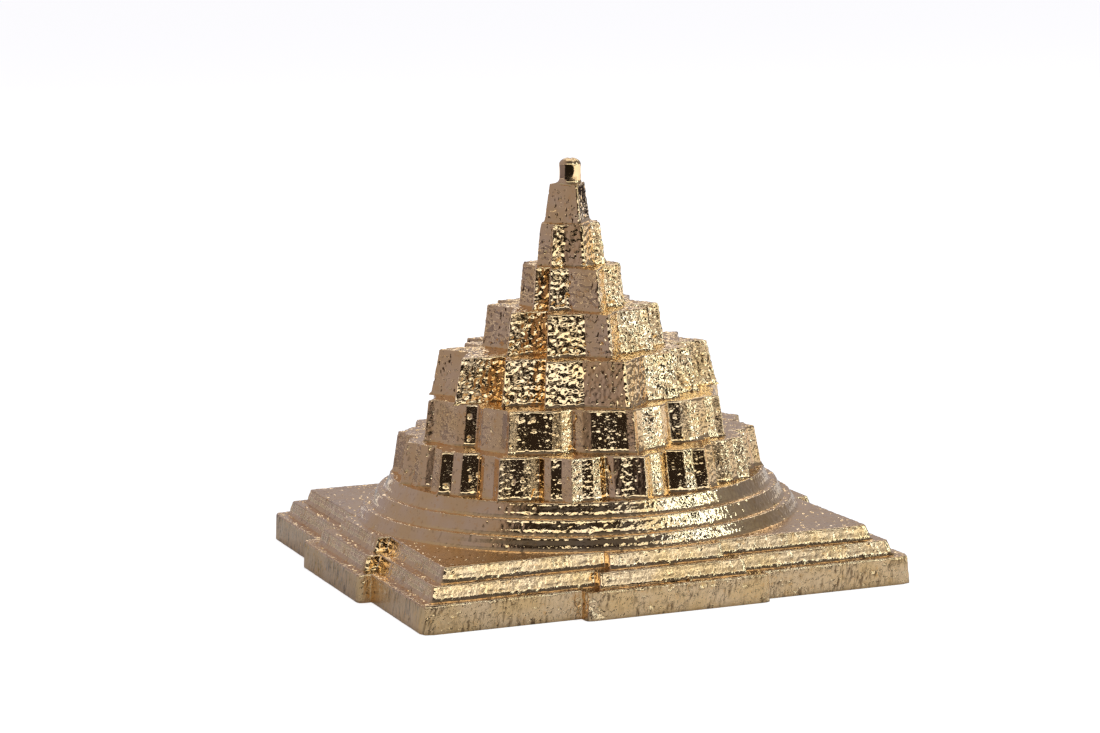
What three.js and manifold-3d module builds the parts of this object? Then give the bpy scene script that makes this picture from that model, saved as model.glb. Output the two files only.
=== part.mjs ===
// Meru shri yantra: a small gilt metal mount of thirteen stacked tiers under a round point.
// Millimetres, +Z up. The origin is the middle of the underside, and the front is the -Y side.
// Each tier is a casting of its own, with a spigot let into the tier below. A stepped rod, from a
// nut under the base to the knob on top, draws the stack together.

import * as THREE from 'three';
import { mergeVertices } from 'three/addons/utils/BufferGeometryUtils.js';
import Module from 'manifold-3d';

const wasm = await Module();
wasm.setup();

// A top inset is how far the top edge of a wall lies inside its foot.

// Square steps with a gate block in the middle of each side; half sizes are taken at the top edge
const lowerStepHalf = 24.88;
const lowerStepHeight = 2.73;
const lowerStepTopInset = 0.12;
const lowerStepCorner = 1.0;
const lowerGateHalf = 9.35;
const lowerGateReach = 1.34;
const middleStepHalf = 23.31;
const middleStepHeight = 1.39;
const middleGateHalf = 7.43;
const middleGateReach = 1.4;
const upperStepHalf = 21.77;
const upperStepHeight = 1.36;
const upperGateHalf = 5.79;
const upperGateReach = 1.34;
const stepTopInset = 0.2;
const stepCorner = 0.35;

// Round girdles; radii are taken at the top edge
const lowerGirdleRadius = 21.6;
const lowerGirdleHeight = 1.2;
const middleGirdleRadius = 20.2;
const middleGirdleHeight = 1.42;
const upperGirdleRadius = 18.86;
const upperGirdleHeight = 1.38;
const girdleTopInset = 0.35;

// Lotus tiers; the tip of a petal is measured where the wall leaves its foot fillet
const sixteenPetalTip = 18.6;
const sixteenPetalHeight = 4.04;
const sixteenPetalTopInset = 0.6;
const eightPetalTip = 16.06;
const eightPetalHeight = 4.06;
const eightPetalTopInset = 0.5;

// Star tiers; each outline is drawn with lines across a circle of the radius given
const fourteenPointCircle = 14.5;
const fourteenPointHeight = 4.41;
const fourteenPointTopInset = 0.85;
const outerTenPointCircle = 14.65;
const outerTenPointHeight = 4.15;
const outerTenPointTopInset = 0.68;
const innerTenPointCircle = 15.0;
const innerTenPointHeight = 4.09;
const innerTenPointTopInset = 0.55;
const eightPointCircle = 14.4;
const eightPointHeight = 4.16;
const eightPointTopInset = 0.5;
const starTipRounding = 0.3;

// Central triangle, and the round point (bindu) on it
const triangleHalfWidth = 2.5;
const triangleDepth = 3.65;
const triangleHeight = 3.88;
const triangleTopInset = 0.55;
const knobRadius = 1.1;
const knobHeight = 2.62;
const knobDomeHeight = 0.85;
const knobDimple = 0.12;
const knobFootFillet = 0.25;

// Fillets at the feet of the walls, and rounding of their upper edges
const stepFootFillet = 0.6;
const girdleFootFillet = 0.5;
const tierFootFillet = 0.35;
const edgeRounding = 0.2;

// Spigots, and the pockets that take them
const spigotDepth = 0.55;
const spigotShare = 0.72;
const squareSpigotHalf = 9;
const pocketFloorClearance = 0.1;
const pocketSideClearance = 0.25;

// Rod, washer and thin nut
const rodRadius = 1.0;
const rodTipRadius = 0.5;
const rodTipLength = 6.6;
const rodInKnob = 1.4;
const rodClearance = 0.15;
const washerRadius = 2.5;
const washerHeight = 0.3;
const nutAcrossFlats = 4.0;
const nutHeight = 1.2;
const nutRecessRadius = 3.0;
const nutRecessMargin = 0.1;

// How far a cutting shape runs past the face that it cuts, and how near welded points lie
const overrun = 1.0;
const weldDistance = 1e-5;

// Facet counts
const girdleSides = 64;
const knobSides = 28;
const rodSides = 20;
const nutSides = 6;
const curveSteps = 2;
const domeSteps = 5;

// Petal counts
const outerPetalCount = 16;
const innerPetalCount = 8;

// Heights of the joints between the tiers
const middleStepBase = lowerStepHeight;
const upperStepBase = middleStepBase + middleStepHeight;
const lowerGirdleBase = upperStepBase + upperStepHeight;
const middleGirdleBase = lowerGirdleBase + lowerGirdleHeight;
const upperGirdleBase = middleGirdleBase + middleGirdleHeight;
const sixteenPetalBase = upperGirdleBase + upperGirdleHeight;
const eightPetalBase = sixteenPetalBase + sixteenPetalHeight;
const fourteenPointBase = eightPetalBase + eightPetalHeight;
const outerTenPointBase = fourteenPointBase + fourteenPointHeight;
const innerTenPointBase = outerTenPointBase + outerTenPointHeight;
const eightPointBase = innerTenPointBase + innerTenPointHeight;
const triangleBase = eightPointBase + eightPointHeight;
const knobBase = triangleBase + triangleHeight;

// Metals
const gilt = new THREE.MeshStandardMaterial({ color: 0xc79a5b, roughness: 0.34, metalness: 1 });
const polishedGilt = new THREE.MeshStandardMaterial({ color: 0xd2a765, roughness: 0.18, metalness: 1 });
const brass = new THREE.MeshStandardMaterial({ color: 0xb08d4c, roughness: 0.4, metalness: 1 });

const shriYantra = new THREE.Group();

function addPiece(name, geometry, material, base) {
  const mesh = new THREE.Mesh(geometry, material);
  mesh.name = name;
  mesh.position.z = base;
  shriYantra.add(mesh);
}

// Solids and cuts

// Welds a closed geometry and hands it over as a solid
function toSolid(geometry) {
  const bare = geometry.clone();
  bare.deleteAttribute('normal');
  bare.deleteAttribute('uv');
  const welded = mergeVertices(bare, weldDistance);
  return new wasm.Manifold(new wasm.Mesh({
    numProp: 3,
    vertProperties: new Float32Array(welded.getAttribute('position').array),
    triVerts: new Uint32Array(welded.getIndex().array),
  }));
}

function toGeometry(solid) {
  const mesh = solid.getMesh();
  const geometry = new THREE.BufferGeometry();
  geometry.setAttribute('position', new THREE.BufferAttribute(new Float32Array(mesh.vertProperties), 3));
  geometry.setIndex(new THREE.BufferAttribute(new Uint32Array(mesh.triVerts), 1));
  geometry.computeVertexNormals();
  return geometry;
}

// Joins the shapes of a body and takes the cutting shapes out of it
function cutBody(shapes, cuts) {
  let solid = toSolid(shapes[0]);
  for (const shape of shapes.slice(1)) {
    solid = solid.add(toSolid(shape));
  }
  for (const cut of cuts) {
    solid = solid.subtract(toSolid(cut));
  }
  return toGeometry(solid);
}

// Upright prism between two heights
function pin(radius, bottom, top, sides) {
  const geometry = new THREE.CylinderGeometry(radius, radius, top - bottom, sides);
  geometry.rotateX(Math.PI / 2);
  geometry.translate(0, 0, (bottom + top) / 2);
  return geometry;
}

function squareBlock(half, bottom, top) {
  const geometry = new THREE.BoxGeometry(2 * half, 2 * half, top - bottom);
  geometry.translate(0, 0, (bottom + top) / 2);
  return geometry;
}

// Turned piece from its profile of radii and heights
function turned(profile, sides) {
  const points = profile.map(([radius, height]) => new THREE.Vector2(radius, height));
  const geometry = new THREE.LatheGeometry(points, sides);
  geometry.rotateX(Math.PI / 2);
  return geometry;
}

// Extrudes an outline, and sets each of its rings to a height and a plan scale
function ringedGeometry(outline, rings) {
  const levels = rings.length - 1;
  const geometry = new THREE.ExtrudeGeometry(new THREE.Shape(outline), {
    depth: levels,
    steps: levels,
    bevelEnabled: false,
  });
  const position = geometry.getAttribute('position');
  for (let i = 0; i < position.count; i++) {
    const { height, scale } = rings[Math.round(position.getZ(i))];
    position.setXYZ(i, position.getX(i) * scale, position.getY(i) * scale, height);
  }
  return geometry;
}

// Wall sections from the foot to the top edge, as lists of radius and height. A tier with an outline
// takes the radius of its outermost tip.

const quarterAngles = Array.from({ length: curveSteps + 1 }, (_, step) => {
  return (step * Math.PI) / 2 / curveSteps;
});

function filletedFoot(radius, fillet) {
  return quarterAngles.map((angle) => [
    radius + fillet * (1 - Math.sin(angle)),
    fillet * (1 - Math.cos(angle)),
  ]);
}

function roundedEdge(radius, height) {
  return quarterAngles.map((angle) => [
    radius - edgeRounding * (1 - Math.cos(angle)),
    height - edgeRounding * (1 - Math.sin(angle)),
  ]);
}

function wallSection(footRadius, topRadius, height, fillet) {
  return [...filletedFoot(footRadius, fillet), ...roundedEdge(topRadius, height)];
}

// Rings for an outline whose section is given from the named radius
function sectionRings(section, namedRadius) {
  return section.map(([radius, height]) => ({ height, scale: radius / namedRadius }));
}

// Outlines

// Share of an edge that the rounding of one corner may take
const cornerEdgeShare = 0.45;

// Closed outline through the given corners, counterclockwise, with its outward corners rounded
function roundedOutline(corners, rounding) {
  const shape = new THREE.Shape();
  corners.forEach((corner, index) => {
    const inward = corner.clone().sub(corners.at(index - 1));
    const outward = corners[(index + 1) % corners.length].clone().sub(corner);
    const reach = Math.min(rounding, inward.length() * cornerEdgeShare, outward.length() * cornerEdgeShare);
    const isOutward = inward.cross(outward) > 0;
    const start = corner.clone().addScaledVector(inward.normalize(), isOutward ? -reach : 0);
    const end = corner.clone().addScaledVector(outward.normalize(), reach);
    if (index === 0) {
      shape.moveTo(start.x, start.y);
    } else {
      shape.lineTo(start.x, start.y);
    }
    if (isOutward) {
      shape.quadraticCurveTo(corner.x, corner.y, end.x, end.y);
    }
  });
  return shape.getPoints(curveSteps);
}

// Square with a gate block standing proud in the middle of each side
function gatedSquare(half, gateHalf, gateReach, rounding) {
  const frontSide = [
    new THREE.Vector2(-half, -half),
    new THREE.Vector2(-gateHalf, -half),
    new THREE.Vector2(-gateHalf, -half - gateReach),
    new THREE.Vector2(gateHalf, -half - gateReach),
    new THREE.Vector2(gateHalf, -half),
  ];
  const centre = new THREE.Vector2();
  const corners = [];
  for (let side = 0; side < 4; side++) {
    corners.push(...frontSide.map((point) => point.clone().rotateAround(centre, (side * Math.PI) / 2)));
  }
  return roundedOutline(corners, rounding);
}

// Half a petal, from its tip to the notch: radius as a share of the tip's, angle as a share of half
// a petal's angle
const sixteenPetalShares = [[1, 0], [0.958, 0.28], [0.953, 0.6], [0.93, 0.8], [0.9, 1]];
const eightPetalShares = [
  [1, 0], [0.962, 0.09], [0.934, 0.22], [0.924, 0.45], [0.912, 0.66], [0.885, 0.82], [0.84, 1],
];

// Ring of petals with the tip of one to the front
function lotusOutline(petals, tip, halfPetalShares) {
  const halfAngle = Math.PI / petals;
  const points = [];
  for (let petal = 0; petal < petals; petal++) {
    const tipAngle = 2 * halfAngle * petal - Math.PI / 2;
    const place = ([radiusShare, angleShare], side) => {
      const angle = tipAngle + side * angleShare * halfAngle;
      return new THREE.Vector2(Math.cos(angle), Math.sin(angle)).multiplyScalar(tip * radiusShare);
    };
    points.push(...halfPetalShares.slice(1, -1).reverse().map((share) => place(share, -1)));
    points.push(...halfPetalShares.map((share) => place(share, 1)));
  }
  return points;
}

const sixteenPetalOutline = lotusOutline(outerPetalCount, sixteenPetalTip, sixteenPetalShares);
const eightPetalOutline = lotusOutline(innerPetalCount, eightPetalTip, eightPetalShares);

// The nine crossing triangles. Nine level lines cut a unit circle that is 48 parts deep. Each line
// is shortened at both ends by a share of itself, and is the base of one triangle, whose apex lies
// on another line or on the rim.
const circleDepthShares = 48;
const lineDepthShares = [6, 12, 17, 20, 23, 27, 30, 36, 41];
const endCutShares = [1 / 16, 5 / 48, 0, 1 / 3, 3 / 8, 1 / 3, 0, 1 / 12, 3 / 20];
const backRim = 0;
const frontRim = lineDepthShares.length + 1;
const apexLines = [6, 9, frontRim, 8, 7, 2, backRim, 1, 3];

// Notches stop short of the construction, so that each star keeps a ledge round the next one
const notchShare = 1.08;

function lineY(line) {
  if (line === backRim) {
    return 1;
  }
  if (line === frontRim) {
    return -1;
  }
  return 1 - (2 * lineDepthShares[line - 1]) / circleDepthShares;
}

// The point where a line or the rim crosses the middle of the figure
function middle(line) {
  return new THREE.Vector2(0, lineY(line));
}

// Right-hand corner of the triangle that stands on a line
function corner(line) {
  const y = lineY(line);
  const halfChord = Math.sqrt(1 - y ** 2);
  return new THREE.Vector2(halfChord * (1 - 2 * endCutShares[line - 1]), y);
}

// Where the right side of a triangle meets a level line
function meetLine(triangle, line) {
  const start = corner(triangle);
  const end = middle(apexLines[triangle - 1]);
  return start.clone().lerp(end, (lineY(line) - start.y) / (end.y - start.y));
}

// Where the right sides of two triangles cross
function meetSide(first, second) {
  const start = corner(first);
  const along = middle(apexLines[first - 1]).sub(start);
  const otherStart = corner(second);
  const across = middle(apexLines[second - 1]).sub(otherStart);
  const travel = otherStart.clone().sub(start).cross(across) / along.cross(across);
  return start.addScaledVector(along, travel);
}

// Star from its right half, given from the back to the front as tips and notches in turn
function starOutline(circleRadius, rightHalf) {
  const right = rightHalf.map((point, index) => {
    return point.multiplyScalar(index % 2 ? circleRadius * notchShare : circleRadius);
  });
  const left = right.slice(1, -1).map((point) => new THREE.Vector2(-point.x, point.y));
  return roundedOutline([...right.reverse(), ...left], starTipRounding);
}

const fourteenPointOutline = starOutline(fourteenPointCircle, [
  middle(backRim),
  meetLine(7, 1),
  corner(1),
  meetLine(1, 2),
  corner(2),
  meetLine(2, 3),
  corner(3),
  meetSide(3, 7),
  corner(7),
  meetLine(8, 7),
  corner(8),
  meetLine(9, 8),
  corner(9),
  meetLine(3, 9),
  middle(frontRim),
]);
const outerTenPointOutline = starOutline(outerTenPointCircle, [
  middle(1),
  meetLine(8, 2),
  meetLine(1, 2),
  meetLine(1, 3),
  meetLine(2, 3),
  meetSide(2, 8),
  meetLine(8, 7),
  meetLine(9, 7),
  meetLine(9, 8),
  meetLine(2, 8),
  middle(9),
]);
const innerTenPointOutline = starOutline(innerTenPointCircle, [
  middle(2),
  meetLine(6, 3),
  meetLine(1, 3),
  meetLine(1, 4),
  corner(4),
  meetSide(4, 6),
  corner(6),
  meetLine(9, 6),
  meetLine(9, 7),
  meetLine(4, 7),
  middle(8),
]);

// Central triangle with its apex to the front and its centroid on the axis
const triangleCorner = new THREE.Vector2(triangleHalfWidth, triangleDepth / 3);
const triangleOutline = roundedOutline([
  new THREE.Vector2(0, (-2 * triangleDepth) / 3),
  triangleCorner,
  new THREE.Vector2(-triangleCorner.x, triangleCorner.y),
], starTipRounding);

// The notch beside the central triangle stays outside that triangle's corner
const seatNotchShare = 1.06;
const eightPointOutline = starOutline(eightPointCircle, [
  middle(3),
  meetLine(9, 4),
  meetLine(1, 4),
  triangleCorner.clone().multiplyScalar(seatNotchShare / eightPointCircle),
  corner(5),
  meetSide(5, 9),
  meetLine(9, 6),
  meetLine(5, 6),
  middle(7),
]);

// Pockets and bores

function outlineReach(outline) {
  return Math.max(...outline.map((point) => point.length()));
}

// Pocket in a top face for a spigot of the given outline
function outlinedPocket(outline, topFace) {
  const scale = spigotShare + pocketSideClearance / outlineReach(outline);
  return ringedGeometry(outline, [
    { height: topFace - spigotDepth - pocketFloorClearance, scale },
    { height: topFace + overrun, scale },
  ]);
}

function squarePocket(topFace) {
  const floor = topFace - spigotDepth - pocketFloorClearance;
  return squareBlock(squareSpigotHalf + pocketSideClearance, floor, topFace + overrun);
}

function rodBore(topFace) {
  return pin(rodRadius + rodClearance, -spigotDepth - overrun, topFace + overrun, rodSides);
}

// Square steps, the lowest with a recess for the nut in its underside

const nutBase = nutRecessMargin;
const washerBase = nutBase + nutHeight;
const lowerStepOutline = gatedSquare(lowerStepHalf, lowerGateHalf, lowerGateReach, lowerStepCorner);
const lowerStepSection = [
  [lowerStepHalf + lowerStepTopInset, 0],
  ...roundedEdge(lowerStepHalf, lowerStepHeight),
];
addPiece('base_lower_step', cutBody(
  [ringedGeometry(lowerStepOutline, sectionRings(lowerStepSection, lowerStepHalf))],
  [
    squarePocket(lowerStepHeight),
    rodBore(lowerStepHeight),
    pin(nutRecessRadius, -overrun, washerBase + washerHeight, rodSides),
  ],
), gilt, 0);

function addStep(name, base, outline, half, height) {
  const section = wallSection(half + stepTopInset, half, height, stepFootFillet);
  const body = ringedGeometry(outline, sectionRings(section, half));
  const spigot = squareBlock(squareSpigotHalf, -spigotDepth, height / 2);
  addPiece(name, cutBody([body, spigot], [squarePocket(height), rodBore(height)]), gilt, base);
}

addStep(
  'base_middle_step',
  middleStepBase,
  gatedSquare(middleStepHalf, middleGateHalf, middleGateReach, stepCorner),
  middleStepHalf,
  middleStepHeight,
);
addStep(
  'base_upper_step',
  upperStepBase,
  gatedSquare(upperStepHalf, upperGateHalf, upperGateReach, stepCorner),
  upperStepHalf,
  upperStepHeight,
);

// Round girdles, on square spigots that keep them from turning

function addGirdle(name, base, radius, height, pocket) {
  const wall = wallSection(radius + girdleTopInset, radius, height, girdleFootFillet);
  const body = turned([[0, 0], ...wall, [0, height]], girdleSides);
  const spigot = squareBlock(squareSpigotHalf, -spigotDepth, height / 2);
  addPiece(name, cutBody([body, spigot], [pocket, rodBore(height)]), gilt, base);
}

addGirdle(
  'girdle_lower',
  lowerGirdleBase,
  lowerGirdleRadius,
  lowerGirdleHeight,
  squarePocket(lowerGirdleHeight),
);
addGirdle(
  'girdle_middle',
  middleGirdleBase,
  middleGirdleRadius,
  middleGirdleHeight,
  squarePocket(middleGirdleHeight),
);
addGirdle(
  'girdle_upper',
  upperGirdleBase,
  upperGirdleRadius,
  upperGirdleHeight,
  outlinedPocket(sixteenPetalOutline, upperGirdleHeight),
);

// Lotus and star tiers, on spigots of their own outline

function outlinedBody(outline, height, topInset) {
  const reach = outlineReach(outline);
  const wall = wallSection(reach, reach - topInset, height, tierFootFillet);
  return ringedGeometry(outline, [
    { height: -spigotDepth, scale: spigotShare },
    { height: 0, scale: spigotShare },
    ...sectionRings(wall, reach),
  ]);
}

function addOutlinedTier(name, base, outline, height, topInset, outlineAbove) {
  const cuts = [outlinedPocket(outlineAbove, height), rodBore(height)];
  addPiece(name, cutBody([outlinedBody(outline, height, topInset)], cuts), gilt, base);
}

addOutlinedTier(
  'sixteen_petal_tier',
  sixteenPetalBase,
  sixteenPetalOutline,
  sixteenPetalHeight,
  sixteenPetalTopInset,
  eightPetalOutline,
);
addOutlinedTier(
  'eight_petal_tier',
  eightPetalBase,
  eightPetalOutline,
  eightPetalHeight,
  eightPetalTopInset,
  fourteenPointOutline,
);
addOutlinedTier(
  'fourteen_point_tier',
  fourteenPointBase,
  fourteenPointOutline,
  fourteenPointHeight,
  fourteenPointTopInset,
  outerTenPointOutline,
);
addOutlinedTier(
  'outer_ten_point_tier',
  outerTenPointBase,
  outerTenPointOutline,
  outerTenPointHeight,
  outerTenPointTopInset,
  innerTenPointOutline,
);
addOutlinedTier(
  'inner_ten_point_tier',
  innerTenPointBase,
  innerTenPointOutline,
  innerTenPointHeight,
  innerTenPointTopInset,
  eightPointOutline,
);

// The rod steps down inside the eight-point tier, and only its tip passes through the triangle
const rodTop = knobBase + rodInKnob;
const rodShoulder = rodTop - rodTipLength;
const tipBoreRadius = rodTipRadius + rodClearance;
addPiece('eight_point_tier', cutBody(
  [outlinedBody(eightPointOutline, eightPointHeight, eightPointTopInset)],
  [
    outlinedPocket(triangleOutline, eightPointHeight),
    rodBore(rodShoulder + rodClearance - overrun - eightPointBase),
    pin(tipBoreRadius, 0, eightPointHeight, rodSides),
  ],
), gilt, eightPointBase);
addPiece('central_triangle', cutBody(
  [outlinedBody(triangleOutline, triangleHeight, triangleTopInset)],
  [pin(tipBoreRadius, -spigotDepth - overrun, triangleHeight + overrun, rodSides)],
), gilt, triangleBase);

// Round point: a blind bore, a filleted foot, a plain neck and a dome with a dimple

const dome = Array.from({ length: domeSteps }, (_, step) => {
  const angle = (step * Math.PI) / 2 / domeSteps;
  return [knobRadius * Math.cos(angle), knobHeight - knobDomeHeight * (1 - Math.sin(angle))];
});
const knobBoreTop = rodInKnob + rodClearance;
addPiece('bindu_knob', turned([
  [0, knobBoreTop],
  [tipBoreRadius, knobBoreTop],
  [tipBoreRadius, 0],
  ...filletedFoot(knobRadius, knobFootFillet),
  ...dome,
  [0, knobHeight - knobDimple],
], knobSides), polishedGilt, knobBase);

// Rod, washer and nut

addPiece('tie_rod', turned([
  [0, nutBase],
  [rodRadius, nutBase],
  [rodRadius, rodShoulder],
  [rodTipRadius, rodShoulder],
  [rodTipRadius, rodTop],
  [0, rodTop],
], rodSides), brass, 0);
addPiece('rod_washer', cutBody(
  [pin(washerRadius, 0, washerHeight, rodSides)],
  [rodBore(washerHeight)],
), brass, washerBase);
const nutCornerRadius = nutAcrossFlats / 2 / Math.cos(Math.PI / nutSides);
addPiece('rod_nut', cutBody(
  [pin(nutCornerRadius, 0, nutHeight, nutSides)],
  [rodBore(nutHeight)],
), brass, nutBase);

export default shriYantra;
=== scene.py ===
# Meru shri yantra: a small gilt metal mount of stacked tiers under a round point.
# Metres, +Z up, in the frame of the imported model. The front is the -Y side.

import math

import bmesh
import bpy
import numpy as np
from mathutils import Matrix, Vector, noise


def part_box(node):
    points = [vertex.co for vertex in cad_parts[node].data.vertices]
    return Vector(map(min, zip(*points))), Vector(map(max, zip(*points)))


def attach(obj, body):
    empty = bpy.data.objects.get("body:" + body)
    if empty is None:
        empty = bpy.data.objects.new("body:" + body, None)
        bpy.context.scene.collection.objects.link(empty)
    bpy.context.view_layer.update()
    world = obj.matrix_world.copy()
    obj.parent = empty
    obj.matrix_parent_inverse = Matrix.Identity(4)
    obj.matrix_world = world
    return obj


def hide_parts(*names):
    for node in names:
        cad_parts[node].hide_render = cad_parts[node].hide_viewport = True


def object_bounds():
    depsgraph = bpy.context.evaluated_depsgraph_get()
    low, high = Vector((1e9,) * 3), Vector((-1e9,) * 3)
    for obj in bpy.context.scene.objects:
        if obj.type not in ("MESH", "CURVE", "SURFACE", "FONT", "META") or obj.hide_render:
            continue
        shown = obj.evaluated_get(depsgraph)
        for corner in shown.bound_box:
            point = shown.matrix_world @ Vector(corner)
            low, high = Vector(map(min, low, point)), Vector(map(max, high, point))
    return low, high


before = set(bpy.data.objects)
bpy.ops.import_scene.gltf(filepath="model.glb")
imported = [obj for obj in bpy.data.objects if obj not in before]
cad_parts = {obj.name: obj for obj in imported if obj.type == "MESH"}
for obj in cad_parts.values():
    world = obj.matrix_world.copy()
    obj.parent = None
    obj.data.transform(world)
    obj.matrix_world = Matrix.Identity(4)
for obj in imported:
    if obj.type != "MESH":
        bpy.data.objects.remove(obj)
cad_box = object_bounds()

MM = 0.001

# The tiers from the bottom to the top
STEPS = ["base_lower_step", "base_middle_step", "base_upper_step"]
GIRDLES = ["girdle_lower", "girdle_middle", "girdle_upper"]
FIGURES = [
    "sixteen_petal_tier",
    "eight_petal_tier",
    "fourteen_point_tier",
    "outer_ten_point_tier",
    "inner_ten_point_tier",
    "eight_point_tier",
    "central_triangle",
]
TIERS = STEPS + GIRDLES + FIGURES
KNOB = "bindu_knob"

# Wall section of a tier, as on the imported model
STEP_FOOT_FILLET = 0.6 * MM
GIRDLE_FOOT_FILLET = 0.5 * MM
FIGURE_FOOT_FILLET = 0.35 * MM
EDGE_ROUNDING = 0.21 * MM
BOTTOM_ROUNDING = 0.12 * MM

# Bores and the recess for the nut
BORE_RADIUS = 1.15 * MM
TIP_BORE_RADIUS = 0.65 * MM
RECESS_RADIUS = 3.0 * MM
RECESS_DEPTH = 1.6 * MM
BORE_SIDES = 32
RECESS_SIDES = 64

# The knob, with a foot that spreads to one side and a shallow notch over its crown
KNOB_FOOT_FILLET = 0.25 * MM
KNOB_SPREAD = 0.34 * MM
KNOB_SPREAD_HEIGHT = 0.5 * MM
KNOB_SPREAD_SIDE = Vector((-0.94, 0.34))
KNOB_DOME_HEIGHT = 0.68 * MM
KNOB_DOME_ROWS = 24
KNOB_WALL_ROWS = 12
KNOB_TURN_STEPS = 96
NOTCH_DEPTH = 0.13 * MM
NOTCH_WIDTH = 0.15 * MM
NOTCH_OFFSET = 0.08 * MM
KNOB_WAIST = 0.012 * MM
KNOB_WAVE_DEPTH = 0.02 * MM
KNOB_WAVE_SIZE = 0.9 * MM

# The knob's foot stays over the triangle that carries it, and leans out above the triangle's sides
TRIANGLE_SIDES = [Vector((math.cos(a), math.sin(a))) for a in map(math.radians, (90, 210, 330))]
KNOB_LEAN = 0.27 * MM

# Fineness of the cast skin, and how many points of an outline each softening pass blends
STEP_SPACING = 0.17 * MM
SPACING = 0.13 * MM
SOFTENING_PASSES = 1
CURVE_ROWS = 4

# How far a foot is let into the ledge that it stands on, and a ledge runs in under the next foot
FOOT_SINK = 0.15 * MM
LEDGE_LAP = 0.25 * MM

# Cast grain: depths and the sizes of the noise that shapes them
GRAIN_DEPTH = 0.028 * MM
GRAIN_SIZE = 0.37 * MM
FINE_GRAIN_DEPTH = 0.009 * MM
FINE_GRAIN_SIZE = 0.2 * MM
WAVE_DEPTH = 0.05 * MM
WAVE_SIZE = 2.6 * MM
PIT_DEPTH = 0.5 * MM
PIT_SIZE = 0.36 * MM
PIT_THRESHOLD = 0.44

# Beads along the edges and feet of the walls
BEAD_DEPTH = 0.045 * MM
BEAD_SIZE = 0.24 * MM

# The skin of each tier: depth of the modelled grain against the depths above, depth of the shaded
# grain in mm, how much small pitting it has (pits with painted shade), and how much rougher its level
# faces are
SKINS = {
    "base_lower_step": (0.8, 0.018, 0.2, 0.4),
    "base_middle_step": (0.45, 0.024, 0.3, 0.4),
    "base_upper_step": (0.45, 0.024, 0.3, 0),
    "girdle_lower": (0.75, 0.024, 0.2, 0.6),
    "girdle_middle": (0.75, 0.024, 0.2, 0.6),
    "girdle_upper": (0.75, 0.024, 0.2, 0.6),
    "sixteen_petal_tier": (0.35, 0.024, 0.35, 0.8),
    "eight_petal_tier": (0.35, 0.024, 0.35, 0.8),
    "fourteen_point_tier": (2.8, 0.016, 1, 0.5),
    "outer_ten_point_tier": (3, 0.016, 1, 0.5),
    "inner_ten_point_tier": (3, 0.016, 1, 0.5),
    "eight_point_tier": (3, 0.016, 1, 0.5),
    "central_triangle": (0.4, 0.006, 1, 0),
}

# Places on the front gate's corner that are worn in: position, reach and depth, in mm
WORN_PLACES = [
    ((-8.9, -26.2, 2.1), 0.75, 0.3),
    ((-8.8, -25.6, 1.2), 0.6, 0.25),
    ((-8.2, -26.3, 0.8), 0.5, 0.16),
    ((-9.6, -25.0, 1.9), 0.6, 0.2),
]

# The side that was filed smoother: walls that face this way keep only a share of their grain
FILED_SIDE = Vector((-0.98, -0.2, 0))
FILED_SHARE = 0.35

# Level faces are left rougher: what they have over the walls, in modelled and in shaded grain
LEDGE_GRAIN = 0.7
LEDGE_SHADED_GRAIN = 0.02

# Drag marks down the walls of the steps
DRAG_DEPTH = 0.014 * MM
DRAG_WIDTH = 0.3 * MM
DRAG_STRETCH = 5
DRAG_SHARES = {"base_lower_step": 1, "base_middle_step": 0.5, "base_upper_step": 0.5}

RANDOM_SHIFT = Vector((11.3, 5.7, 3.1))


# Outlines of the tiers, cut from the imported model


def level_cut(node, height):
    """A mesh of the outer edge of a node at one height"""
    loop = bmesh.new()
    loop.from_mesh(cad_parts[node].data)
    bmesh.ops.remove_doubles(loop, verts=loop.verts, dist=0.001 * MM)
    bmesh.ops.bisect_plane(
        loop,
        geom=loop.verts[:] + loop.edges[:] + loop.faces[:],
        plane_co=(0, 0, height),
        plane_no=(0, 0, 1),
        clear_inner=True,
        clear_outer=True,
    )
    inner = [v for v in loop.verts if v.co.xy.length < 1.1 * BORE_RADIUS]
    bmesh.ops.delete(loop, geom=inner, context="VERTS")
    return loop


def reach(mesh):
    return max(v.co.xy.length for v in mesh.verts)


def fine_outline(node, height, spacing):
    """The outline of a node with close points and softened corners"""
    loop = level_cut(node, height)
    if node in GIRDLES:
        radius = reach(loop)
        loop.clear()
        bmesh.ops.create_circle(loop, segments=round(2 * math.pi * radius / spacing), radius=radius)
        return loop
    for edge in loop.edges[:]:
        cuts = int(edge.calc_length() / spacing)
        if cuts:
            bmesh.ops.subdivide_edges(loop, edges=[edge], cuts=cuts)
    for _ in range(SOFTENING_PASSES):
        bmesh.ops.smooth_vert(
            loop, verts=loop.verts, factor=0.5, use_axis_x=True, use_axis_y=True, use_axis_z=True
        )
    return loop


def polar(verts):
    points = np.array([v.co.xy for v in verts])
    return np.arctan2(points[:, 1], points[:, 0]), np.hypot(points[:, 0], points[:, 1])


def radius_round(loop):
    """The radius of an outline as a function of the angle"""
    angles, radii = polar(loop.verts)
    return lambda wanted: np.interp(wanted, angles, radii, period=2 * math.pi)


# Castings, built up ring by ring from an outline


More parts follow.
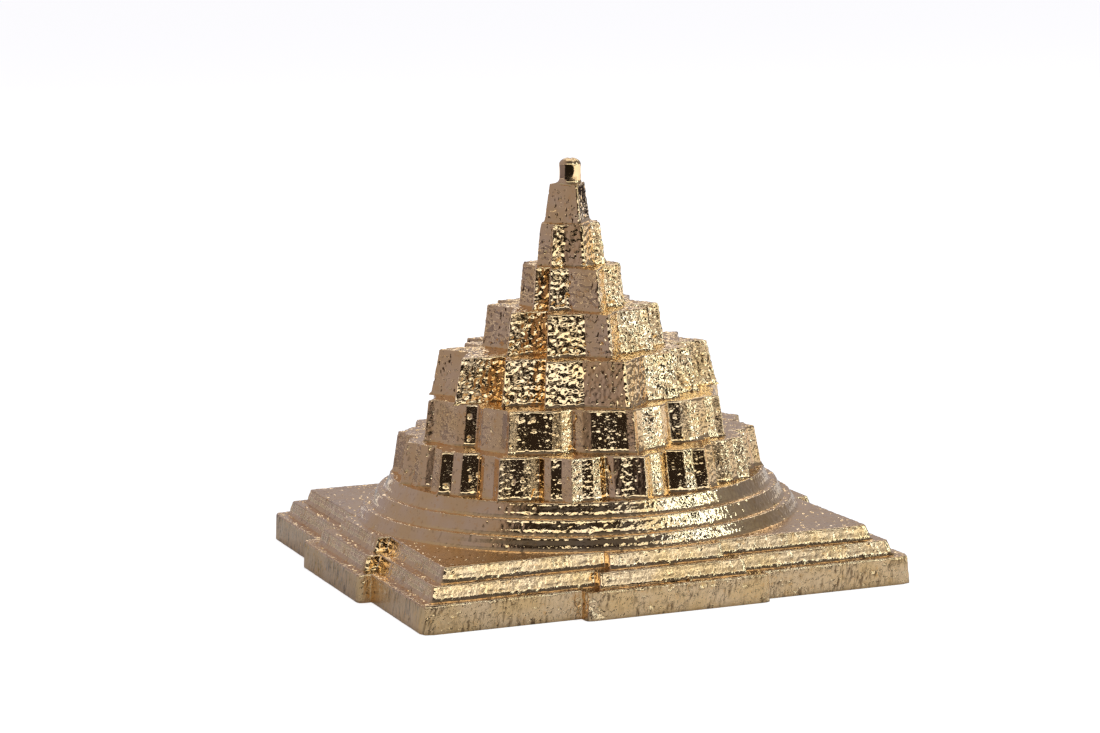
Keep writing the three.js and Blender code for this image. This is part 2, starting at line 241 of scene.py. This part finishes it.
class Casting:
    def __init__(self, loop, height):
        self.mesh = loop
        # Share of painted interreflection: deeper gold in the corners at the feet, across the ledges
        # towards them and in the pits
        self.hollow = loop.verts.layers.float.new("hollow")
        self.skin = loop.verts.layers.float.new("skin")
        self.drag = loop.verts.layers.float.new("drag")
        self.grain = loop.verts.layers.float.new("grain")
        self.bead = loop.verts.layers.float.new("bead")
        # How much small pitting a tier has; its pits get painted shade
        self.pitting = loop.verts.layers.float.new("pitting")
        self.ring = loop.edges[:]
        self.first_ring = self.ring
        self.spans = []
        self.reach = reach(loop)
        self.scale = 1
        self.height = height
        for vert in loop.verts:
            vert.co.z = height

    def ring_verts(self):
        return {vert for edge in self.ring for vert in edge.verts}

    def move(self, offset, height, hollow=0, drag=0, bead=0):
        """Takes the ring in hand to an offset from the outline and to a height"""
        scale = (self.reach + offset) / self.reach
        verts = list(self.ring_verts())
        bmesh.ops.scale(self.mesh, verts=verts, vec=(scale / self.scale, scale / self.scale, 1))
        bmesh.ops.translate(self.mesh, verts=verts, vec=(0, 0, height - self.height))
        for vert in verts:
            vert[self.hollow] = hollow
            vert[self.drag] = drag
            vert[self.bead] = bead
            vert[self.skin] = 1
        self.scale = scale
        self.height = height

    def extrude(self, rows=1):
        """Draws out the ring in hand; a long span is to be cut into rows in the end"""
        grown = bmesh.ops.extrude_edge_only(self.mesh, edges=self.ring)["geom"]
        self.ring = [e for e in grown if isinstance(e, bmesh.types.BMEdge) and e.is_boundary]
        if rows > 1:
            sides = {e for vert in self.ring_verts() for e in vert.link_edges if not e.is_boundary}
            self.spans.append((list(sides), rows - 1))

    def section(self, points):
        """Sweeps the outline through a section of (rows, offset, height, share of painted interreflection,
        drag, bead)
        """
        self.move(*points[0][1:])
        for vert in self.ring_verts():
            vert[self.skin] = 0
        for rows, *place in points[1:]:
            self.extrude(rows)
            self.move(*place)

    def cut_spans(self):
        for sides, cuts in self.spans:
            bmesh.ops.subdivide_edges(self.mesh, edges=sides, cuts=cuts, use_grid_fill=True)

    def ledge(self, radius_above, spacing):
        """Runs a level ledge in to the foot of the tier above, with painted interreflection growing to the
        full towards that foot
        """
        angles, radii = polar(self.ring_verts())
        width = float(max(radii - radius_above(angles)))
        self.extrude(max(2, round(width / spacing)))
        verts = list(self.ring_verts())
        angles, radii = polar(verts)
        for vert, share in zip(verts, radius_above(angles) / radii):
            vert.co.xy *= float(share)
            vert[self.hollow] = 1
            vert[self.drag] = 0
            vert[self.bead] = 0

    def circle(self, radius, height, sides):
        made = bmesh.ops.create_circle(
            self.mesh, segments=sides, radius=radius, matrix=Matrix.Translation((0, 0, height))
        )["verts"]
        return list({edge for vert in made for edge in vert.link_edges})

    def tube(self, edges, height_change):
        """Draws a circle out into a tube and gives back its far edge"""
        grown = bmesh.ops.extrude_edge_only(self.mesh, edges=edges)["geom"]
        verts = [v for v in grown if isinstance(v, bmesh.types.BMVert)]
        bmesh.ops.translate(self.mesh, verts=verts, vec=(0, 0, height_change))
        return [e for e in grown if isinstance(e, bmesh.types.BMEdge) and e.is_boundary]

    def fill(self, edges):
        bmesh.ops.triangle_fill(self.mesh, edges=edges, use_beauty=True)


def stretched_noise(point, size, stretch):
    return noise.noise(Vector((point.x, point.y, point.z / stretch)) / size + RANDOM_SHIFT)


def wear(point):
    """How deep the worn places go in at a point"""
    depth = 0
    for place, size, most in WORN_PLACES:
        near = (point / MM - Vector(place)).length / size
        if near < 3:
            depth += most * MM * math.exp(-near * near) * (0.8 + noise.noise(point / BEAD_SIZE))
    return depth


def roughen(casting, ground, grain_share, shaded_grain, pitting, rougher):
    """Gives the cast skin its waves, grain, beads, drag marks and pits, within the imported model's box"""
    mesh = casting.mesh
    bmesh.ops.recalc_face_normals(mesh, faces=mesh.faces)
    moves = []
    for vert in mesh.verts:
        if not vert[casting.skin]:
            continue
        point = vert.co
        grain = GRAIN_DEPTH * noise.noise(point / GRAIN_SIZE + RANDOM_SHIFT)
        grain += FINE_GRAIN_DEPTH * noise.noise(point / FINE_GRAIN_SIZE)
        wave = WAVE_DEPTH * noise.noise(point / WAVE_SIZE)
        filed = max(0, min(1, (vert.normal.dot(FILED_SIDE) - 0.45) / 0.35))
        evenness = 1 - (1 - FILED_SHARE) * filed
        level = rougher * max(0, vert.normal.z) ** 4
        height = wave * min(1, grain_share) ** 2
        height += (grain_share * evenness + LEDGE_GRAIN * level) * grain
        height += vert[casting.bead] * evenness * BEAD_DEPTH * noise.noise(point / BEAD_SIZE)
        vert[casting.grain] = shaded_grain * evenness + LEDGE_SHADED_GRAIN * level
        vert[casting.pitting] = pitting
        pit = max(0, noise.noise(point / PIT_SIZE - RANDOM_SHIFT) - PIT_THRESHOLD)
        height -= PIT_DEPTH * pit + wear(point)
        drag = vert[casting.drag]
        if drag:
            height += drag * DRAG_DEPTH * stretched_noise(point, DRAG_WIDTH, DRAG_STRETCH)
        # The pits take painted interreflection too
        vert[casting.hollow] = min(1, vert[casting.hollow] + 4 * pit)
        moves.append((vert, vert.normal * height))
    for vert, move in moves:
        place = vert.co + move
        for axis in range(3):
            place[axis] = max(cad_box[0][axis], min(cad_box[1][axis], place[axis]))
        place.z = max(ground, place.z)
        vert.co = place


def finish_piece(name, mesh, material, node):
    """Makes a mesh into a shown piece that stands for its node"""
    for face in mesh.faces:
        face.smooth = len(face.verts) == 4
    data = bpy.data.meshes.new(name)
    mesh.to_mesh(data)
    mesh.free()
    data.materials.append(material)
    piece = bpy.data.objects.new(name, data)
    bpy.context.scene.collection.objects.link(piece)
    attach(piece, "root")
    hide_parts(node)
    return piece


def quarter(rows):
    return [math.pi / 2 * row / rows for row in range(rows + 1)]


def foot_points(fillet, sink):
    """Offset, height and share of painted interreflection up a foot fillet, from the ledge to the wall"""
    return [
        (
            fillet * (1 - math.sin(angle)),
            fillet * (1 - math.cos(angle)) - (sink if angle == 0 else 0),
            1 - math.sin(angle) ** 2,
        )
        for angle in quarter(CURVE_ROWS)
    ]


def foot_fillet(node):
    if node in STEPS:
        return STEP_FOOT_FILLET
    return GIRDLE_FOOT_FILLET if node in GIRDLES else FIGURE_FOOT_FILLET


def tier_section(base, top, fillet, inset, spacing, on_ground, drag):
    """Section of a wall from its foot to its upper edge"""
    if on_ground:
        foot = [
            (BOTTOM_ROUNDING * (math.sin(angle) - 1), BOTTOM_ROUNDING * (1 - math.cos(angle)), 0)
            for angle in quarter(2)
        ]
    else:
        foot = foot_points(fillet, FOOT_SINK)
    foot_height = foot[-1][1]
    wall_height = top - base - EDGE_ROUNDING - foot_height
    edge = [
        (
            -inset - EDGE_ROUNDING * (1 - math.cos(angle)),
            top - base - EDGE_ROUNDING * (1 - math.sin(angle)),
            0,
        )
        for angle in quarter(CURVE_ROWS)
    ]
    wall_rows = round(wall_height / spacing)
    rows = [1] * len(foot) + [wall_rows] + [1] * CURVE_ROWS
    beads = [1] * len(foot) + [0.3] + [1] * CURVE_ROWS
    return [
        (row_count, offset, base + height, hollow, drag, bead)
        for row_count, bead, (offset, height, hollow) in zip(rows, beads, foot + edge)
    ]


def cast_tier(node, base, above):
    """A tier of the stack with a cast skin, pierced for the rod"""
    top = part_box(node)[1].z
    on_ground = node == STEPS[0]
    is_step = node in STEPS
    spacing = STEP_SPACING if is_step else SPACING
    fillet = foot_fillet(node)
    foot_height = base + (BOTTOM_ROUNDING if on_ground else fillet)
    outline = fine_outline(node, foot_height + 0.01 * MM, spacing)
    inset = reach(level_cut(node, foot_height + 0.01 * MM)) - reach(level_cut(node, top - EDGE_ROUNDING))
    casting = Casting(outline, foot_height)
    casting.section(tier_section(base, top, fillet, inset, spacing, on_ground, DRAG_SHARES.get(node, 0)))

    if above:
        fillet_above = foot_fillet(above)
        above_loop = fine_outline(above, top + fillet_above + 0.01 * MM, spacing)
        above_radius = radius_round(above_loop)
        share = 1 + (fillet_above - LEDGE_LAP) / reach(above_loop)
        casting.ledge(lambda angle: above_radius(angle) * share, spacing)
    else:
        casting.extrude()
        casting.move(-inset - EDGE_ROUNDING - LEDGE_LAP, top)

    bore_radius = TIP_BORE_RADIUS if node in FIGURES[-2:] else BORE_RADIUS
    bore = casting.circle(bore_radius, top, BORE_SIDES)
    casting.fill(casting.ring + bore)
    floor = base + RECESS_DEPTH if on_ground else base - FOOT_SINK
    bore_end = casting.tube(bore, floor - top)
    if on_ground:
        recess = casting.circle(RECESS_RADIUS, floor, RECESS_SIDES)
        casting.fill(recess + bore_end)
        bore_end = casting.tube(recess, base - floor)
    casting.fill(casting.first_ring + bore_end)
    casting.cut_spans()
    roughen(casting, base if on_ground else base - FOOT_SINK, *SKINS[node])
    return finish_piece("cast_" + node, casting.mesh, gilt, node)


def polished_knob():
    """The round point: a domed pin on a spreading foot, with a notch over its crown"""
    low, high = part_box(KNOB)
    profile = bmesh.new()
    radius = high.x - KNOB_FOOT_FILLET
    foot = [
        (radius + offset, low.z + height)
        for offset, height, _ in foot_points(KNOB_FOOT_FILLET, FOOT_SINK)
    ]
    dome = [
        (radius * math.cos(angle), high.z - KNOB_DOME_HEIGHT * (1 - math.sin(angle)))
        for angle in quarter(KNOB_DOME_ROWS)
    ]
    points = foot + dome
    verts = [profile.verts.new((distance, 0, height)) for distance, height in points]
    edges = [profile.edges.new(pair) for pair in zip(verts, verts[1:])]
    bmesh.ops.subdivide_edges(profile, edges=[edges[len(foot) - 1]], cuts=KNOB_WALL_ROWS - 1)
    wall_low, wall_high = foot[-1][1], dome[0][1]
    for vert in profile.verts:
        share = (vert.co.z - wall_low) / (wall_high - wall_low)
        if 0 < share < 1:
            vert.co.x -= KNOB_WAIST * math.sin(math.pi * share) ** 2
    bmesh.ops.spin(
        profile,
        geom=profile.verts[:] + profile.edges[:],
        cent=(0, 0, 0),
        axis=(0, 0, 1),
        dvec=(0, 0, 0),
        angle=2 * math.pi,
        steps=KNOB_TURN_STEPS,
        use_merge=True,
    )
    bmesh.ops.remove_doubles(profile, verts=profile.verts, dist=0.001 * MM)
    bottom = [e for e in profile.edges if e.is_boundary]
    bmesh.ops.holes_fill(profile, edges=bottom, sides=0)
    seat = level_cut(FIGURES[-1], low.z - EDGE_ROUNDING)
    sides = [(side, max(v.co.xy.dot(side) for v in seat.verts)) for side in TRIANGLE_SIDES]
    for vert in profile.verts:
        if vert.co.z > high.z - KNOB_DOME_HEIGHT:
            aside = (vert.co.x - NOTCH_OFFSET) / NOTCH_WIDTH
            vert.co.z -= NOTCH_DEPTH * math.exp(-aside * aside)
        rise = (vert.co.z - low.z) / KNOB_SPREAD_HEIGHT
        if rise < 1:
            leftward = max(0, vert.co.xy.normalized().dot(KNOB_SPREAD_SIDE))
            vert.co.xy *= 1 + KNOB_SPREAD / radius * leftward ** 3 * (1 - max(0, rise)) ** 2
            for side, side_reach in sides:
                room = side_reach - EDGE_ROUNDING / 2 + KNOB_LEAN * max(0, rise)
                vert.co.xy -= side * max(0, vert.co.xy.dot(side) - room)
        swell = noise.noise(vert.co / KNOB_WAVE_SIZE) - 0.5
        vert.co.xy *= 1 + KNOB_WAVE_DEPTH / radius * swell
    bmesh.ops.recalc_face_normals(profile, faces=profile.faces)
    return finish_piece("polished_" + KNOB, profile, polished_gilt, KNOB)


# Shader arithmetic


class Field:
    """A socket whose arithmetic adds Math nodes"""

    def __init__(self, tree, socket):
        self.tree = tree
        self.socket = socket

    def math(self, operation, *others):
        made = self.tree.add("ShaderNodeMath", {"operation": operation}, dict(enumerate((self,) + others)))
        return made["Value"]

    def __add__(self, other):
        return self.math("ADD", other)

    def __sub__(self, other):
        return self.math("SUBTRACT", other)

    def __mul__(self, other):
        return self.math("MULTIPLY", other)

    def __truediv__(self, other):
        return self.math("DIVIDE", other)

    def __rsub__(self, other):
        return (self * -1) + other

    __radd__ = __add__
    __rmul__ = __mul__


class Shader:
    """A node tree that is filled by one method"""

    def __init__(self, owner):
        owner.use_nodes = True
        self.nodes = owner.node_tree.nodes
        self.links = owner.node_tree.links
        self.nodes.clear()

    def add(self, kind, settings=None, inputs=None):
        node = self.nodes.new(kind)
        for name, value in (settings or {}).items():
            if name == "stops":
                set_stops(node.color_ramp, value)
            else:
                setattr(node, name, value)
        for name, value in (inputs or {}).items():
            if isinstance(value, Field):
                self.links.new(value.socket, node.inputs[name])
            else:
                node.inputs[name].default_value = value
        return Sockets(self, node)


class Sockets:
    """The outputs of a node by name"""

    def __init__(self, tree, node):
        self.tree = tree
        self.node = node

    def __getitem__(self, name):
        return Field(self.tree, self.node.outputs[name])


def set_stops(ramp, stops):
    while len(ramp.elements) < len(stops):
        ramp.elements.new(1)
    for element, (position, colour) in zip(ramp.elements, stops):
        element.position = position
        element.color = (*colour, 1)


def mix_colours(shader, factor, first, second):
    mixed = shader.add(
        "ShaderNodeMix",
        {"data_type": "RGBA"},
        {0: factor, 6: first, 7: second},
    )
    return Field(shader, mixed.node.outputs[2])


def object_point(shader, scale):
    point = shader.add("ShaderNodeTexCoord")["Object"]
    return shader.add("ShaderNodeMapping", inputs={"Vector": point, "Scale": scale})["Vector"]


def slanted_point(shader, size, turn):
    """Object coordinates that are turned, and then counted in marks of a size"""
    point = shader.add("ShaderNodeTexCoord")["Object"]
    placed = shader.add(
        "ShaderNodeMapping",
        {"vector_type": "TEXTURE"},
        {"Vector": point, "Rotation": turn, "Scale": size},
    )
    return placed["Vector"]


def noise_field(shader, point, scale, detail=2, roughness=0.5):
    return shader.add(
        "ShaderNodeTexNoise",
        inputs={"Vector": point, "Scale": scale, "Detail": detail, "Roughness": roughness},
    )["Fac"]


def ranged(shader, field, low, high, to_low=0.0, to_high=1.0):
    return shader.add(
        "ShaderNodeMapRange",
        {"clamp": True},
        {"Value": field, "From Min": low, "From Max": high, "To Min": to_low, "To Max": to_high},
    )["Result"]


# Metals

GOLD = (0.93, 0.63, 0.3, 1)
# Deeper gold of the painted interreflection in the hollows
HOLLOW_REFLECTION_GOLD = (0.94, 0.63, 0.28, 1)
PALE_GOLD = (0.93, 0.67, 0.39, 1)
ORANGE_GOLD = (0.85, 0.44, 0.12, 1)
# Dark file marks, and painted shade in the small pits
DARK_MARK_AND_PIT_SHADE = (0.12, 0.06, 0.025, 1)


def gilt_material(name, roughness, grain, rusting):
    """Gold plate over a cast skin: deeper gold in the hollows as painted interreflection, with fine grain,
    file marks, and small pits painted dark as shade
    """
    material = bpy.data.materials.new(name)
    shader = Shader(material)
    point = object_point(shader, (1000, 1000, 1000))
    patches = ranged(shader, noise_field(shader, point, 0.35), 0.35, 0.65)
    hollow = shader.add("ShaderNodeAttribute", {"attribute_name": "hollow"})["Fac"]
    colour = mix_colours(shader, patches, GOLD, PALE_GOLD)
    # Painted interreflection: deeper gold in the corners at the feet, on the ledges towards them and in
    # the pits
    colour = mix_colours(shader, hollow * hollow, colour, HOLLOW_REFLECTION_GOLD)
    rust = ranged(shader, noise_field(shader, point, 1.9, detail=3, roughness=0.6), 0.58, 0.7)
    colour = mix_colours(shader, rust * (0.45 * rusting), colour, ORANGE_GOLD)
    fine = noise_field(shader, point, 5, detail=1.5)
    cast_grain = shader.add("ShaderNodeAttribute", {"attribute_name": "grain"})["Fac"]
    crowding = noise_field(shader, point, 0.45)
    upright = object_point(shader, (1000, 1000, 550))
    drag = shader.add("ShaderNodeAttribute", {"attribute_name": "drag"})["Fac"]
    pitting = shader.add("ShaderNodeAttribute", {"attribute_name": "pitting"})["Fac"]
    crowded = noise_field(shader, upright, 3.2, detail=1) + crowding * 0.3
    # Small pits: sunk a little, rougher, and painted dark as shade
    shaded_pit_specks = ranged(shader, crowded, 0.81, 0.85) * pitting
    colour = mix_colours(shader, shaded_pit_specks, colour, DARK_MARK_AND_PIT_SHADE)
    slanted = slanted_point(shader, (0.28 * MM, 0.28 * MM, 2.1 * MM), (0.2, 0.2, 0))
    filed = noise_field(shader, slanted, 1, detail=3, roughness=0.65)
    furrows = ranged(shader, filed, 0.5, 0.61) * ranged(shader, crowding, 0.38, 0.6, 0.12, 0.75) * drag
    colour = mix_colours(shader, furrows, colour, DARK_MARK_AND_PIT_SHADE)
    uneven = noise_field(shader, point, 1.1)
    height = fine * (cast_grain + grain) * 0.85 - shaded_pit_specks * 0.01 + filed * drag * drag * 0.085
    bump = shader.add(
        "ShaderNodeBump",
        inputs={"Strength": 1.0, "Distance": MM, "Height": height},
    )["Normal"]
    surface = shader.add(
        "ShaderNodeBsdfPrincipled",
        inputs={
            "Base Color": colour,
            "Metallic": 1.0,
            "Roughness": uneven * 0.05 + shaded_pit_specks * 0.3 + roughness,
            "Normal": bump,
        },
    )["BSDF"]
    shader.add("ShaderNodeOutputMaterial", inputs={"Surface": surface})
    return material


def turned_brass():
    """Plain brass with the fine rings of a lathe tool"""
    material = bpy.data.materials.new("turned_brass")
    shader = Shader(material)
    point = object_point(shader, (1000, 1000, 1000))
    rings = shader.add(
        "ShaderNodeTexWave",
        {"wave_type": "RINGS", "rings_direction": "Z"},
        {"Vector": point, "Scale": 4, "Distortion": 0.6, "Detail": 2},
    )["Fac"]
    tarnish = ranged(shader, noise_field(shader, point, 0.6, detail=3), 0.4, 0.7)
    colour = mix_colours(shader, tarnish, (0.72, 0.5, 0.2, 1), (0.45, 0.29, 0.12, 1))
    bump = shader.add(
        "ShaderNodeBump",
        inputs={"Strength": 1.0, "Distance": MM, "Height": rings * 0.01},
    )["Normal"]
    surface = shader.add(
        "ShaderNodeBsdfPrincipled",
        inputs={
            "Base Color": colour,
            "Metallic": 1.0,
            "Roughness": tarnish * 0.2 + 0.28,
            "Normal": bump,
        },
    )["BSDF"]
    shader.add("ShaderNodeOutputMaterial", inputs={"Surface": surface})
    return material


gilt = gilt_material("gilt_casting", 0.02, 0, 1)
polished_gilt = gilt_material("polished_gilt", 0.05, 0.002, 0)
brass = turned_brass()

# The stack

bases = [0] + [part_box(node)[1].z for node in TIERS[:-1]]
for node, base, above in zip(TIERS, bases, TIERS[1:] + [None]):
    cast_tier(node, base, above)
polished_knob()
for node in ["tie_rod", "rod_washer", "rod_nut"]:
    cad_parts[node].data.materials.clear()
    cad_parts[node].data.materials.append(brass)

# Studio

LOW, HIGH = cad_box
CENTRE = (LOW + HIGH) / 2

FLOOR_SIZE = 6

# The distance from which the floor is seen as a white background
WHITE_BEYOND = 0.24
# How close to the metal the painted glow of the near floor fades out, as painted contact shade
CONTACT_SHADE_REACH = 0.004


def pale_floor():
    """A pale floor, white from afar; close to the metal it shows its own colour and the shadow, with
    painted light added: a glow that grows towards +X and -Y and fades to painted contact shade close to
    the metal
    """
    bpy.ops.mesh.primitive_plane_add(size=FLOOR_SIZE)
    floor = bpy.context.object
    floor.name = "floor"
    material = bpy.data.materials.new("pale_floor")
    shader = Shader(material)
    rays = shader.add("ShaderNodeLightPath")
    shown = rays["Is Camera Ray"].math("MAXIMUM", rays["Is Glossy Ray"])
    shown = shown.math("MAXIMUM", rays["Is Transmission Ray"])
    place = shader.add("ShaderNodeTexCoord")["Object"]
    parts = shader.add("ShaderNodeSeparateXYZ", inputs={"Vector": place})
    # Painted light on the near floor, seen in the metal's reflections: a glow that grows towards +X and -Y
    painted_light_pool = ranged(shader, parts["X"] - parts["Y"], -0.025, 0.035, 0.0, 0.29)
    # Painted contact shade: the glow fades out close to the metal
    near = ranged(shader, rays["Ray Length"], 0.0, CONTACT_SHADE_REACH) * painted_light_pool
    shown = shown * near.math("MAXIMUM", rays["Ray Length"].math("GREATER_THAN", WHITE_BEYOND))
    diffuse = shader.add("ShaderNodeBsdfDiffuse", inputs={"Color": (0.8, 0.8, 0.8, 1)})["BSDF"]
    glow = shader.add("ShaderNodeEmission", inputs={"Color": (1, 1, 1, 1), "Strength": 0.8})["Emission"]
    lit = shader.add("ShaderNodeAddShader", inputs={0: diffuse, 1: glow})["Shader"]
    surface = shader.add("ShaderNodeMixShader", inputs={0: shown, 1: diffuse, 2: lit})["Shader"]
    shader.add("ShaderNodeOutputMaterial", inputs={"Surface": surface})
    floor.data.materials.append(material)


def direction_to(azimuth, elevation):
    """Azimuth 0 is towards the front (-Y) and 90 towards +X, in degrees"""
    a, e = math.radians(azimuth), math.radians(elevation)
    return Vector((math.sin(a) * math.cos(e), -math.cos(a) * math.cos(e), math.sin(e)))


def softbox(name, azimuth, elevation, distance, width, height, radiance, colour):
    light = bpy.data.lights.new(name, "AREA")
    light.shape = "RECTANGLE"
    light.size = width
    light.size_y = height
    light.energy = radiance * math.pi * width * height
    light.color = colour
    lamp = bpy.data.objects.new(name, light)
    towards = direction_to(azimuth, elevation)
    lamp.location = CENTRE + towards * distance
    lamp.rotation_mode = "QUATERNION"
    lamp.rotation_quaternion = towards.to_track_quat("Z", "Y")
    bpy.context.scene.collection.objects.link(lamp)


def room_light():
    """A grey room that is darkest in front and overhead"""
    world = bpy.data.worlds.new("studio")
    bpy.context.scene.world = world
    shader = Shader(world)
    heading = shader.add("ShaderNodeTexCoord")["Generated"]
    parts = shader.add("ShaderNodeSeparateXYZ", inputs={"Vector": heading})
    turn = (parts["X"]).math("ARCTAN2", parts["Y"] * -1) / (2 * math.pi) + 0.5
    room = shader.add(
        "ShaderNodeValToRGB",
        {
            "stops": [
                (0.0, (0.34, 0.32, 0.39)),
                (0.28, (0.32, 0.3, 0.37)),
                (0.305, (0.33, 0.29, 0.33)),
                (0.345, (0.025, 0.02, 0.02)),
                (0.515, (0.025, 0.02, 0.02)),
                (0.54, (0.09, 0.09, 0.1)),
                (0.565, (0.14, 0.14, 0.15)),
                (0.6, (0.05, 0.05, 0.06)),
                (0.69, (0.05, 0.05, 0.06)),
                (0.715, (0.26, 0.27, 0.3)),
                (0.77, (0.18, 0.18, 0.21)),
                (0.86, (0.3, 0.3, 0.35)),
                (0.94, (0.4, 0.37, 0.4)),
                (1.0, (0.34, 0.32, 0.39)),
            ]
        },
        {"Fac": turn},
    )["Color"]
    overhead = ranged(shader, parts["Z"], 0.62, 0.74)
    rear = ranged(shader, parts["Y"], -0.35, 0.45)
    ceiling = mix_colours(shader, rear, (0.1, 0.1, 0.12, 1), (0.36, 0.34, 0.38, 1))
    room = mix_colours(shader, overhead, room, ceiling)
    surface = shader.add("ShaderNodeBackground", inputs={"Color": room})["Background"]
    shader.add("ShaderNodeOutputWorld", inputs={"Surface": surface})


def reflection_only_card(name, x_range, y_range, colour):
    """A card laid on the floor that only the metal sees, a painted reflection that deepens it as
    photographers' cards do; it casts no shadow and lights nothing
    """
    mesh = bmesh.new()
    bmesh.ops.create_grid(mesh, x_segments=1, y_segments=1, size=0.5)
    size = (x_range[1] - x_range[0], y_range[1] - y_range[0], 1)
    bmesh.ops.scale(mesh, verts=mesh.verts, vec=size)
    bmesh.ops.translate(mesh, verts=mesh.verts, vec=(sum(x_range) / 2, sum(y_range) / 2, 2 * MM))
    data = bpy.data.meshes.new(name)
    mesh.to_mesh(data)
    mesh.free()
    material = bpy.data.materials.new(name)
    shader = Shader(material)
    surface = shader.add("ShaderNodeBsdfDiffuse", inputs={"Color": colour})["BSDF"]
    shader.add("ShaderNodeOutputMaterial", inputs={"Surface": surface})
    data.materials.append(material)
    card = bpy.data.objects.new(name, data)
    bpy.context.scene.collection.objects.link(card)
    card.visible_camera = False
    card.visible_diffuse = False
    card.visible_shadow = False


def portrait_camera():
    """The camera of the portrait: its side angle, height, roll, distance and aim beside the axis"""
    back = direction_to(-20.61, 8.49)
    roll = math.radians(-1.30)
    level_right = Vector((0, 0, 1)).cross(back).normalized()
    level_up = back.cross(level_right)
    right = math.cos(roll) * level_right + math.sin(roll) * level_up
    up = back.cross(right)
    data = bpy.data.cameras.new("camera")
    data.sensor_width = 36
    data.lens = 36 * 3133.2 / 1100
    data.clip_start = 0.01
    camera = bpy.data.objects.new("camera", data)
    turn = Matrix((right, up, back)).transposed()
    location = turn @ Vector((-2.88 * MM, 19.57 * MM, 317.7 * MM))
    camera.matrix_world = Matrix.Translation(location) @ turn.to_4x4()
    bpy.context.scene.collection.objects.link(camera)
    bpy.context.scene.camera = camera


pale_floor()
room_light()
softbox("left_pane", 42, 23, 0.7, 0.055, 0.56, 4.8, (0.68, 0.85, 1.0))
softbox("right_pane", 62, 23, 0.7, 0.08, 0.56, 4.9, (0.68, 0.85, 1.0))
softbox("front_strip", -24, 20.5, 0.75, 1.08, 0.21, 1.7, (0.84, 0.92, 1.0))
softbox("right_strip", 24, 26.5, 0.75, 0.4, 0.14, 1.3, (0.85, 0.93, 1.0))
softbox("middle_strip", 22, 13.5, 0.74, 0.3, 0.19, 0.55, (0.9, 0.95, 1.0))
softbox("top_panel", 150, 66, 0.7, 0.55, 0.4, 0.8, (0.9, 0.95, 1.0))
softbox("rear_strip", 150, 33, 0.7, 0.6, 0.1, 1.8, (0.85, 0.92, 1.0))
# Painted reflections: dark and grey sheets that only the metal's reflections see, casting no shadow
reflection_only_card("dark_reflection_card", (-1.9, 0.1), (-1.95, -0.09), (0.03, 0.025, 0.02, 1))
reflection_only_card("grey_reflection_card", (-1.3, -0.09), (-0.09, 1.1), (0.58, 0.53, 0.62, 1))
reflection_only_card("rear_reflection_card", (0.3, 1.5), (0.27, 1.5), (0.1, 0.09, 0.1, 1))
portrait_camera()

scene = bpy.context.scene
scene.view_settings.view_transform = "Standard"
